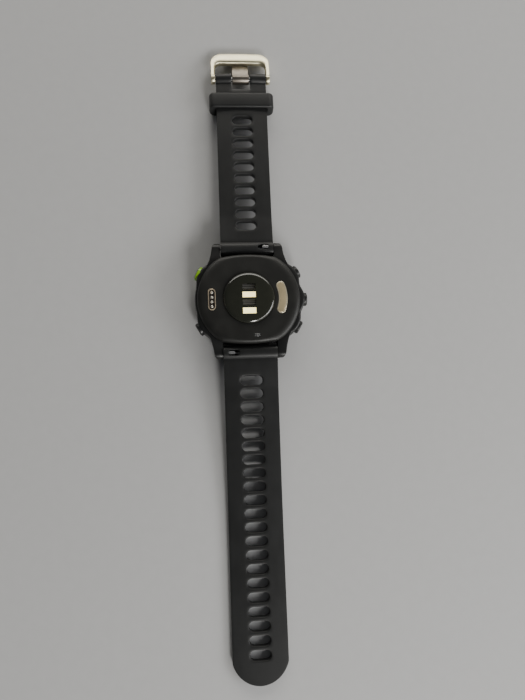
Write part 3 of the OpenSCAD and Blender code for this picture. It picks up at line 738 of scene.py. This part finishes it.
leds = Finish("light_windows", Metallic=0.0, Coat_Weight=0.8, Coat_Roughness=0.08)
seen_flat = leds.moved(scale=(1.0, 1.0, 0.0))
chips = leds.node("ShaderNodeTexVoronoi", {}, {"Vector": seen_flat, "Scale": 800.0}, "Distance")
cell = leds.noise(0.0009, 1.0)
phosphor = leds.colours(cell.between(0.35, 0.65), (0.95, 0.86, 0.5, 1.0), (0.98, 0.95, 0.78, 1.0))
# The LED windows' warm emission is a painted glow that stands for how bright they look, not light from
# working LEDs.
leds.set(
    Base_Color=leds.colours(chips.between(0.12, 0.3), (0.5, 0.42, 0.16, 1.0), phosphor),
    Roughness=0.25 + cell * 0.2,
    Emission_Color=leds.colours(cell, (1.0, 0.8, 0.27, 1.0), (1.0, 0.91, 0.5, 1.0)),
    Emission_Strength=3.5,
)
detectors = Finish("detector_windows", Metallic=0.0, Coat_Weight=0.8, Coat_Roughness=0.08)
stripe = detectors.node(
    "ShaderNodeTexWave", {"bands_direction": "Y"},
    {"Vector": detectors.place, "Scale": 420.0, "Distortion": 0.4, "Detail": 1.0}, "Fac",
)
detectors.set(
    Base_Color=detectors.colours(stripe, (0.07, 0.07, 0.07, 1.0), (0.3, 0.29, 0.27, 1.0)),
    Roughness=0.2 + stripe * 0.2,
    Normal=detectors.bump(stripe, 0.00001),
)
dress("sensor_leds", leds.material)
dress("sensor_photodiodes", detectors.material)

# ---------------------------------------------------------------------------------------------
# Charging port. Four gold-washed spring contacts in a very dark brown insulator, framed by a
# thin copper-toned ring that is pressed into the cover.
# ---------------------------------------------------------------------------------------------


def softened(node, name, width, body, material, segments=2, crease=30):
    """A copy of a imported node, merged, with its sharp edges rounded to this width in mm."""
    shape = bmesh.new()
    shape.from_mesh(frame["nodes"][node].data)
    bmesh.ops.scale(shape, vec=(1 / MM,) * 3, verts=shape.verts)
    bmesh.ops.remove_doubles(shape, verts=shape.verts, dist=1e-4)
    bmesh.ops.dissolve_limit(shape, angle_limit=math.radians(0.5), verts=shape.verts, edges=shape.edges)
    round_off(shape, sharp_edges(shape, crease), width, segments)
    return piece(name, shape, body, material, [node], crease)


copper = metal("copper_frame", (0.8, 0.66, 0.48, 1.0), (0.98, 0.85, 0.66, 1.0), 0.45, (0, 1, 0))
gold_wash = metal("contact_wash", (0.88, 0.84, 0.72, 1.0), (1.0, 0.97, 0.88, 1.0), 0.45, (0, 0, 1))
softened("charge_frame", "port_ring", 0.1, "watch_case", copper)
softened("charge_insulator", "port_insulator_block", 0.05, "watch_case",
         plastic("insulator_brown", (0.012, 0.008, 0.006, 1), (0.022, 0.014, 0.01, 1), 0.5))
softened("charge_contacts", "port_contacts", 0.08, "watch_case", gold_wash)

# ---------------------------------------------------------------------------------------------
# Inlay and vent. A curved strip of warm satin metal is set into the cover beside the sensor,
# with a polished edge that is also painted lighter as a highlight. A small oval of woven mesh
# covers the pressure port.
# ---------------------------------------------------------------------------------------------
inlay = Finish("inlay_satin", Metallic=0.75)
inlay_lines = inlay.noise(0.00005, 2.0, inlay.moved(scale=(1.0, 0.05, 1.0)))
inlay_drift = inlay.noise(0.003, 2.0)
inlay_x, inlay_y, _ = inlay.axes()
end = math.radians(inlay_span)
inlay_turn = inlay_x.math("ARCTAN2", inlay_y, inlay_x).lower(end).higher(-end)
off_x = inlay_x - inlay_turn.run("COSINE") * (inlay_radius * MM)
off_y = inlay_y - inlay_turn.run("SINE") * (inlay_radius * MM)
off_spine = distance(off_x, off_y) / MM
# The rim is glossier, which is real polish, and painted a lighter gold, which is a painted highlight.
polished_edge_and_highlight = off_spine.between(inlay_width / 2 - 0.5, inlay_width / 2 - 0.38)
groove = (off_spine - (inlay_width / 2 - 0.55)).size().between(0.03, 0.1)
inlay.set(
    Base_Color=inlay.colours(
        polished_edge_and_highlight,
        inlay.colours(inlay_lines.between(0.2, 0.8), (0.8, 0.65, 0.39, 1.0), (0.95, 0.8, 0.5, 1.0)),
        (1.0, 0.9, 0.68, 1.0),
    ),
    Roughness=0.42 + (inlay_drift - 0.5) * 0.2 + (inlay_lines - 0.5) * 0.1 - polished_edge_and_highlight * 0.08,
    Normal=inlay.bump(inlay_lines * 0.05 + groove, 0.00003),
)
strip = bmesh.new()
bmesh.ops.create_grid(strip, x_segments=40, y_segments=2, size=1)
end_turn = math.degrees((inlay_width / 2) / inlay_radius)
for vert in strip.verts:
    along, across = vert.co.x * (inlay_span + end_turn), vert.co.y
    past = max(0.0, abs(along) - inlay_span) / end_turn
    half = inlay_width / 2 * math.sqrt(max(0.0, 1 - past * past))
    radius, turn = inlay_radius + across * half, math.radians(along)
    vert.co = (radius * math.cos(turn), radius * math.sin(turn), cover_top - inlay_depth)
bmesh.ops.translate(strip, vec=(0, 0, inlay_depth + 0.04), verts=thicken(strip))
bmesh.ops.remove_doubles(strip, verts=strip.verts, dist=1e-3)
bmesh.ops.recalc_face_normals(strip, faces=strip.faces)
brink = [edge for edge in sharp_edges(strip, 45) if min(vert.co.z for vert in edge.verts) > cover_top]
round_off(strip, brink, 0.2, 3)
piece("inlay_strip", strip, "watch_case", inlay.material, ["metal_inlay"], 40)

mesh_finish = Finish("vent_weave", Metallic=1.0)
wire_pitch = 0.00012
weave_x, weave_y, _ = mesh_finish.axes(mesh_finish.moved(scale=(math.pi / wire_pitch,) * 3))
weave = weave_x.run("SINE") * weave_y.run("SINE")
mesh_finish.set(
    Base_Color=mesh_finish.colours(weave.size().between(0.1, 0.4), grey(0.03), grey(0.35)),
    Roughness=0.4 + weave * 0.1,
    Normal=mesh_finish.bump(weave.size(), 0.00002),
)
softened("vent_screen", "vent_mesh_oval", 0.08, "watch_case", mesh_finish.material)

# ---------------------------------------------------------------------------------------------
# Spring bars. Thin steel tubes with a pin in each end. One pin is fixed, and the other slides
# on a coil spring and carries the release knob that stands in the strap's recess.
# ---------------------------------------------------------------------------------------------
turned_steel = metal("turned_steel", grey(0.42), grey(0.64), 0.26, (1, 0, 0))
knob_steel = metal("knob_steel", grey(0.8), grey(0.95), 0.34, (0, 1, 0))
for strap in ("short", "long"):
    softened(strap + "_bar_tube", strap + "_tube", 0.05, strap + "_strap", turned_steel, 1)
    softened(strap + "_bar_end_pin", strap + "_fixed_pin", 0.12, strap + "_strap", turned_steel)
    softened(
        strap + "_bar_release_pin", strap + "_sliding_pin", 0.12, strap + "_release", knob_steel
    )
    dress(strap + "_bar_spring", wire_steel)

# ---------------------------------------------------------------------------------------------
# Straps. Soft matte silicone, moulded in one piece each, with a row of slots down the middle
# and a rolled end that holds the spring bar. A recess beside the end gives access to the knob.
# ---------------------------------------------------------------------------------------------
strap_half, strap_thick, strap_crown, boss_radius, neck_thick = 10.9, 2.4, 0.42, 3.0, 3.4
slot_pitch, slot_length, slot_half = 5.3, 3.8, 4.6
knob_middle, recess_half, recess_round, recess_floor = 6.776, 2.3, 1.1, 0.4
neck_from, taper_from, taper_to = 2.47, 3.0, 14.0

silicone = Finish(
    "strap_silicone_matte", Metallic=0.0, Sheen_Weight=0.03, Sheen_Roughness=0.5, Specular_IOR_Level=0.42
)
skin, drift = silicone.noise(0.00009, 3.0), silicone.noise(0.012, 3.0)
lint = silicone.noise(0.0003, 1.0).between(0.74, 0.8) * silicone.noise(0.006, 1.0).between(0.48, 0.7)
rub = silicone.noise(0.0025, 4.0, silicone.moved(scale=(1.0, 0.3, 1.0)), 0.4)
silicone.set(
    Base_Color=silicone.colours(
        lint * 0.22,
        silicone.colours(drift.between(0.3, 0.7), grey(0.013, (0.97, 1, 1)), grey(0.018, (0.97, 1, 1))),
        (0.3, 0.3, 0.3, 1.0),
    ),
    Roughness=0.45 + (skin - 0.5) * 0.16 + (rub - 0.5) * 0.12,
    Normal=silicone.bump(skin, 0.000005),
)
silicone = silicone.material


def moulded_strap(rows, slots, slot_half_at, sag, half_at, side_at, pocket_from=None, end_lines=None):
    """A strap in its own frame, in mm: the bar's axis is X, and it runs along +Y.

    A flat grid, eight cells wide on each side, is drawn to the slots' outlines. It loses the cells
    in the slots, gets its thickness from half_at, and is sunk beside the bar for the knob.
    """
    near_knob, far_knob = knob_middle - recess_half, knob_middle + recess_half
    boss_lines = [
        0, 2.4, near_knob, 4.9, near_knob + recess_round, far_knob - recess_round, 8.65, far_knob, strap_half
    ]
    first, last = slots[0] - slot_length / 2, slots[-1] + slot_length / 2
    shape = bmesh.new()
    bmesh.ops.create_grid(shape, x_segments=16, y_segments=len(rows) - 1, size=1)
    spots, cells = {}, {}
    for vert in shape.verts:
        spots[round(8 * vert.co.x), round((vert.co.y + 1) * (len(rows) - 1) / 2)] = vert
    for face in shape.faces:
        middle = face.calc_center_median()
        cells[math.floor(8 * middle.x), math.floor((middle.y + 1) * (len(rows) - 1) / 2)] = face
    for (line, row), vert in spots.items():
        y = rows[row]
        half = slot_half_at(min(max(y, first), last))
        arc = half - slot_length / 2
        slot_lines = [
            0, arc / 2, arc, arc + 0.8, half - 0.12, half + 1.0, (half + strap_half + 0.1) / 2,
            strap_half - 0.9, strap_half,
        ]
        lines = [a + (b - a) * share_of(y, 2.6, first) for a, b in zip(boss_lines, slot_lines)]
        if end_lines:
            lines = [a + (b - a) * share_of(y, last + 1, pocket_from - 1) for a, b in zip(lines, end_lines)]
        vert.co = (math.copysign(lines[abs(line)], line) * side_at(y), y, 0)
    radius = slot_length / 2
    holes = []
    for middle in slots:
        low = rows.index(round(middle - radius, 4))
        arc = slot_half_at(middle) - radius
        for row in range(5):
            for line, turn in ((4, (row - 2) * 20), (3, (row - 2) * 32.5)):
                if line == 4 or row in (0, 4):
                    for side in (1, -1):
                        vert = spots[side * line, low + row]
                        vert.co.x = side * (arc + radius * math.cos(math.radians(turn)))
                        vert.co.y = middle + radius * math.sin(math.radians(turn))
        holes += [cells[line, low + row] for row in range(4) for line in range(-4, 4)]
    if pocket_from:
        pocket_rows = [row for row in range(len(rows) - 1) if rows[row] >= pocket_from - 0.01]
        holes += [cells[line, row] for row in pocket_rows for line in range(-4, 4)]
    low = rows.index(-recess_round)
    for row in range(5):
        for line, turn in ((2, (row - 2) * 25), (3, (row - 2) * 35)):
            if line == 2 or row in (0, 4):
                near, far = spots[line, low + row], spots[9 - line, low + row]
                for vert, way, centre in ((near, -1, boss_lines[4]), (far, 1, boss_lines[5])):
                    vert.co.x = centre + way * recess_round * math.cos(math.radians(turn))
                    vert.co.y = recess_round * math.sin(math.radians(turn))
    bmesh.ops.delete(shape, geom=holes, context="FACES")
    grown = set(thicken(shape))
    for vert in shape.verts:
        y = vert.co.y
        droop = strap_crown * (vert.co.x / strap_half) ** 2 * share_of(y, taper_from, taper_to)
        vert.co.z = sag(y) + (-half_at(y) if vert in grown else half_at(y) - droop)
    bmesh.ops.remove_doubles(shape, verts=shape.verts, dist=1e-3)
    bmesh.ops.recalc_face_normals(shape, faces=shape.faces)
    sunk = []
    for face in shape.faces:
        middle = face.calc_center_median()
        if middle.z > 1 and abs(middle.y) < recess_round and abs(middle.x - knob_middle) < recess_half:
            sunk.append(face)
    for vert in new_verts(bmesh.ops.extrude_face_region(shape, geom=sunk)["geom"]):
        vert.co.z = recess_floor
    bmesh.ops.delete(shape, geom=sunk, context="FACES_ONLY")
    bmesh.ops.recalc_face_normals(shape, faces=shape.faces)

    def on_side(point):
        return abs(point.x) > strap_half * side_at(point.y) - 0.3 or point.y > last + 4 and not pocket_from

    for offset, segments, chosen in (
        (0.8, 5, on_side),
        (0.4, 3, lambda p: not on_side(p) and first - 0.1 < p.y and (not pocket_from or p.y < last + 0.1)),
        (0.3, 3, lambda p: not on_side(p) and p.y < 2 and p.z > 1.5),
        (0.35, 2, lambda p: not on_side(p) and pocket_from and p.y > pocket_from - 0.2),
    ):
        brink = sharp_edges(shape, 50)
        brink = [edge for edge in brink if chosen((edge.verts[0].co + edge.verts[1].co) / 2)]
        round_off(shape, brink, offset, segments)
    return shape


def slot_rows(slots):
    """Five rows for each slot, and one halfway to the next."""
    rows = []
    for middle in slots:
        steps = (-slot_length / 2, -0.9, 0, 0.9, slot_length / 2, slot_pitch / 2)
        rows += [round(middle + step, 4) for step in steps]
    return rows[:-1]


def neck(y):
    """Half a strap's thickness: a rolled end round the bar, then a neck that thins to the strap."""
    if y < 0:
        return boss_radius * max(0.0, 1 - abs(y / boss_radius) ** 2.6) ** (1 / 2.6)
    if y < neck_from:
        return math.sqrt(max(0.0, boss_radius ** 2 - y * y))
    return (neck_thick + (strap_thick - neck_thick) * share_of(y, taper_from, taper_to)) / 2


rolled = [
    -boss_radius, -2.985, -2.93, -2.78, -2.35, -1.8, -recess_round, -0.55, 0, 0.55, recess_round, 1.6, 2.05,
    neck_from, taper_from, 4.2,
]

short_hinge = Vector(joints["short_strap_swing"]["pos_m"]) / MM
buckle_hinge = Vector(joints["buckle_swing"]["pos_m"]) / MM
short_reach = (buckle_hinge - short_hinge).length
short_droop = math.asin((short_hinge.z - buckle_hinge.z) / short_reach)
short_frame = Matrix.Translation(short_hinge) @ Matrix.Rotation(-short_droop, 4, "X")
ear_radius, pocket_half, pocket_depth = 2.5, 4.1, 5.3
short_slots = [9.9 + slot_pitch * i for i in range(10)]
ear_steps = (
    -pocket_depth, -4.0, -3.0, -2.3, -2.1, -1.75, -1.25, -0.65, 0, 0.65, 1.25, 1.75, 2.1, 2.35, 2.46,
    ear_radius,
)


def short_half(y):
    """Half the short strap's thickness, with its round end at the buckle's bar."""
    past = y - short_reach
    ear = math.sqrt(max(0.0, ear_radius ** 2 - past * past))
    return max(neck(y), ear) if past < 2.2 else ear


short_shape = moulded_strap(
    rolled + [5.8, 6.9] + slot_rows(short_slots) + [61, 63.5, 66, 68.5, 70.5]
    + [short_reach + step for step in ear_steps],
    short_slots, lambda y: slot_half - 0.3, lambda y: 0.0, short_half, lambda y: 1.0,
    short_reach - pocket_depth, [0, 1.6, 3.0, 3.7, pocket_half, 5.4, 7.6, strap_half - 0.9, strap_half],
)
bmesh.ops.transform(short_shape, matrix=short_frame, verts=short_shape.verts)
piece("short_strap_moulding", short_shape, "short_strap", silicone, ["short_strap"], 42)

long_length, tip_radius, sag_from, sag_length = 128.0, 11.3, 2.0, 76.0
long_hinge = Vector(joints["long_strap_swing"]["pos_m"]) / MM
long_frame = Matrix.Translation(long_hinge) @ Matrix.Rotation(math.pi, 4, "Z")
long_slots = [11.1 + slot_pitch * i for i in range(21)]
tip_middle = long_length - tip_radius
tip_turns = (15.4, 20, 26, 32, 39, 46, 53, 60, 67, 74, 80, 85, 88.5, 90)


def long_sag(y):
    """How the long strap bends down from the bar to lie flat on the table."""
    share = share_of(y, sag_from, sag_from + sag_length)
    return -(bar_height - strap_thick / 2) * (1.5 * share - 0.5 * share ** 3)


def tip_side(y):
    """The long strap's width, as a share of its full width: its tip is round."""
    past = (y - tip_middle) / tip_radius
    return 1.0 if past <= 0 else min(1.0, math.sqrt(max(0.0, 1 - past * past)) * tip_radius / strap_half)


long_shape = moulded_strap(
    rolled + [5.8, 7.4] + slot_rows(long_slots)
    + [tip_middle + tip_radius * math.sin(math.radians(turn)) for turn in tip_turns],
    long_slots, lambda y: slot_half - 0.5 * share_of(y, long_slots[0], long_slots[-1]),
    long_sag, neck, tip_side,
)
bmesh.ops.transform(long_shape, matrix=long_frame, verts=long_shape.verts)
piece("long_strap_moulding", long_shape, "long_strap", silicone, ["long_strap"], 42)

# ---------------------------------------------------------------------------------------------
# Keeper. A stiff silicone loop that slides on the short strap and holds the long one's end.
# It is moulded with broad round corners, and its outer edges are rounded over.
# ---------------------------------------------------------------------------------------------
keeper_wide, keeper_tall, keeper_corner, keeper_length = 28.0, 7.4, 2.4, 6.9
keeper_inner_wide, keeper_inner_tall, keeper_inner_corner = 22.6, 5.2, 0.9
keeper_y, keeper_drop = 66.65, -1.3

keeper = bmesh.new()
for wide, tall, corner in (
    (keeper_wide, keeper_tall, keeper_corner),
    (keeper_inner_wide, keeper_inner_tall, keeper_inner_corner),
):
    corners = bmesh.ops.create_grid(keeper, x_segments=1, y_segments=1, size=0.5)["verts"]
    bmesh.ops.scale(keeper, vec=(wide, tall, 1), verts=corners)
    bmesh.ops.bevel(
        keeper, geom=corners, offset=corner, segments=8, profile=0.5, affect="VERTICES",
        clamp_overlap=True, material=-1,
    )
bmesh.ops.delete(keeper, geom=keeper.faces[:], context="FACES_ONLY")
bmesh.ops.bridge_loops(keeper, edges=keeper.edges[:])
bmesh.ops.rotate(keeper, verts=keeper.verts, cent=(0, 0, 0), matrix=Matrix.Rotation(math.pi / 2, 3, "X"))
bmesh.ops.translate(keeper, verts=keeper.verts, vec=(0, keeper_y - keeper_length / 2, keeper_drop))
bmesh.ops.translate(keeper, verts=thicken(keeper), vec=(0, keeper_length, 0))
bmesh.ops.recalc_face_normals(keeper, faces=keeper.faces)


def is_outer(point):
    return max(abs(point.x) / keeper_wide, abs(point.z - keeper_drop) / keeper_tall) > 0.43


for offset, outer in ((0.95, True), (0.3, False)):
    brink = [
        edge for edge in sharp_edges(keeper, 60)
        if abs(edge.verts[0].co.y - edge.verts[1].co.y) < 0.01 and is_outer(edge.verts[0].co) == outer
    ]
    round_off(keeper, brink, offset, 5)
bmesh.ops.transform(keeper, matrix=short_frame, verts=keeper.verts)
piece("keeper_moulding", keeper, "keeper", silicone, ["keeper_loop"], 42)

# ---------------------------------------------------------------------------------------------
# Buckle. A brushed steel frame whose window has a broad rounded edge, hung on a steel bar that
# crosses the strap's end, and a tang of bent strip that is curled round the same bar.
# ---------------------------------------------------------------------------------------------
frame_droop, frame_thick = 12.9, 2.0
arm_in, window_far, window_corner, window_arch = 11.15, 9.2, 2.6, 0.12
arm_out, frame_far, frame_corner, frame_arch = 12.8, 13.85, 4.6, 0.45
arm_end, inner_round, ridge_curve, ridge_line = 2.0, 0.9, 0.5, 0.45

steel = Finish("buckle_brushed", Metallic=1.0)
steel_lines = steel.noise(0.00007, 3.0, steel.moved(scale=(0.03, 1.0, 1.0)))
steel_drift = steel.noise(0.002, 2.0)
steel.set(
    Base_Color=steel.colours(steel_lines.between(0.2, 0.8), (0.78, 0.72, 0.5, 1.0), (0.91, 0.85, 0.63, 1.0)),
    Roughness=0.38 + (steel_lines - 0.5) * 0.14 + (steel_drift - 0.5) * 0.1,
    Normal=steel.bump(steel_lines, 0.0000014),
)
steel = steel.material
buckle_place = Matrix.Translation(buckle_hinge) @ Matrix.Rotation(math.radians(-frame_droop), 4, "X")


def frame_line(share, half, far, corner, arch):
    """A point on a U-shaped line, from one arm's end round to the other's, with round corners."""
    straight, quarter, across = far - corner, math.pi / 2 * corner, half - corner
    way = share * 2 * (straight + quarter + across)
    mirror = way > straight + quarter + across
    if mirror:
        way = 2 * (straight + quarter + across) - way
    if way <= straight:
        x, y = half, way
    elif way <= straight + quarter:
        turn = (way - straight) / corner
        x, y = half - corner + corner * math.cos(turn), straight + corner * math.sin(turn)
    else:
        x, y = half - corner - (way - straight - quarter), far
    y += arch * (1 - (x / half) ** 2) * share_of(y, far - corner, far)
    return Vector((-x if mirror else x, y, 0))


hoop = bmesh.new()
across_lines = [0, 0.02, 0.05, 0.1, 0.17, 0.42, 0.75, 1.0]
across = len(across_lines) - 1
bmesh.ops.create_grid(hoop, x_segments=96, y_segments=across, size=1)
for vert in hoop.verts:
    share, out = (vert.co.x + 1) / 2, across_lines[round((vert.co.y + 1) * across / 2)]
    inner = frame_line(share, arm_in, window_far, window_corner, window_arch)
    outer = frame_line(share, arm_out, frame_far, frame_corner, frame_arch)
    short_of = max(0.0, inner_round - (outer - inner).length * out)
    sloped = inner_round - math.sqrt(inner_round ** 2 - short_of ** 2)
    vert.co = inner + (outer - inner) * out
    vert.co.z = frame_thick / 2 - ridge_curve * (out - ridge_line) ** 2 - sloped
for vert in thicken(hoop):
    vert.co.z = -frame_thick / 2
bmesh.ops.recalc_face_normals(hoop, faces=hoop.faces)
round_off(hoop, sharp_edges(hoop, 55), 0.42, 3)
for side in (1, -1):
    ear = bmesh.new()
    bmesh.ops.create_cone(
        ear, cap_ends=True, segments=48, radius1=arm_end, radius2=arm_end, depth=arm_out - arm_in
    )
    round_off(ear, sharp_edges(ear, 57), 0.3, 3)
    bmesh.ops.rotate(ear, verts=ear.verts, cent=(0, 0, 0), matrix=Matrix.Rotation(math.pi / 2, 3, "Y"))
    bmesh.ops.translate(ear, verts=ear.verts, vec=(side * (arm_in + arm_out) / 2, 0, 0))
    add_to(hoop, ear)
bmesh.ops.transform(hoop, matrix=buckle_place, verts=hoop.verts)
piece("buckle_hoop", hoop, "buckle", steel, ["buckle_frame"], 35)
softened("buckle_bar", "buckle_pin", 0.1, "buckle", turned_steel)

# The tang is the buckle's brushed steel painted far darker and browner: painted shade for the shade it lies
# in under the frame.
tang_steel_painted_shade = metal(
    "tang_brushed_painted_shade", (0.22, 0.195, 0.165, 1.0), (0.36, 0.325, 0.28, 1.0), 0.42, (0, 1, 0), 0.00007, 0.0000022
)
softened("buckle_tang", "tang_strip", 0.22, "tang", tang_steel_painted_shade, 3)

# ---------------------------------------------------------------------------------------------
# Setting. A plain pale table top in an even, dim room. A small lamp shines from beyond the long
# strap's end, two soft ones from the side of the three buttons, and a wide low one from beyond
# the buckle.
# ---------------------------------------------------------------------------------------------
table_mesh = bpy.data.meshes.new("table")
table_shape = bmesh.new()
bmesh.ops.create_grid(table_shape, x_segments=2, y_segments=2, size=1.5)
table_shape.to_mesh(table_mesh)
table_shape.free()
table = bpy.data.objects.new("table", table_mesh)
bpy.context.scene.collection.objects.link(table)
paint = Finish("table_paint", Metallic=0.0)
paint_grain = paint.noise(0.004, 4.0)
paint.set(Base_Color=paint.colours(paint_grain, grey(0.56), grey(0.6)), Roughness=0.75 + paint_grain * 0.1)
table_mesh.materials.append(paint.material)


def lamp(name, place, wide, tall, watts, colour):
    light = bpy.data.lights.new(name, "AREA")
    light.shape, light.size, light.size_y, light.energy, light.color = "ELLIPSE", wide, tall, watts, colour
    made = bpy.data.objects.new(name, light)
    made.location = place
    made.rotation_euler = (-Vector(place)).to_track_quat("-Z", "Y").to_euler()
    bpy.context.scene.collection.objects.link(made)


lamp("small_lamp", (0.25, -0.87, 0.50), 0.27, 0.27, 5.4, (1.0, 0.985, 0.95))
lamp("key_lamp", (0.66, -0.62, 0.48), 0.6, 0.4, 2.6, (1.0, 0.985, 0.95))
lamp("side_lamp", (0.92, -0.25, 0.42), 0.7, 0.4, 4.4, (1.0, 1.0, 1.0))
lamp("far_lamp", (0.06, 0.93, 0.42), 1.8, 0.45, 8.0, (1.0, 0.97, 0.9))
world = bpy.data.worlds.new("room")
world.use_nodes = True
room = world.node_tree.nodes["Background"].inputs
room["Color"].default_value = (0.8, 0.82, 0.85, 1.0)
room["Strength"].default_value = 0.075
bpy.context.scene.world = world
